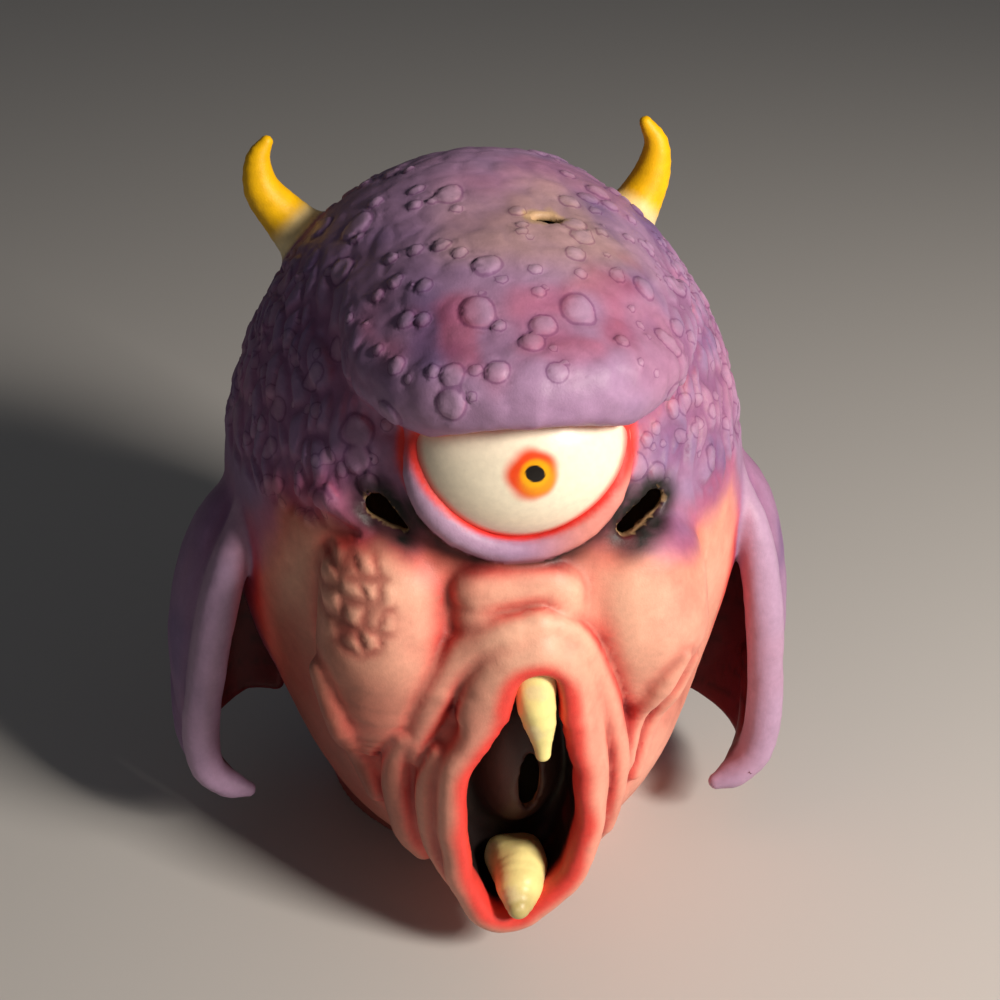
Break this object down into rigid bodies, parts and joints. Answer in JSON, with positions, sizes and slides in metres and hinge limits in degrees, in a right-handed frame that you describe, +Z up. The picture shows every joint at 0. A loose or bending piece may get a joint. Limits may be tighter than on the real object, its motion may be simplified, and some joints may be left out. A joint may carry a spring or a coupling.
{
  "type": "monster mask",
  "caption": "Pull-over latex monster mask with one great eye under a heavy brow, horns, hanging ears and a tall open mouth.",
  "frame": {"origin": "middle of the mask's outline seen from above, on the plane of its flat neck rim", "axes": "+Z up, the face looks along -Y, +X is to the right of someone who looks at the face"},
  "size_m": [0.268, 0.2469, 0.2943],
  "materials": {
    "latex": "matte"
  },
  "bodies": {
    "root": {"mask": "latex"}
  },
  "joints": []
}
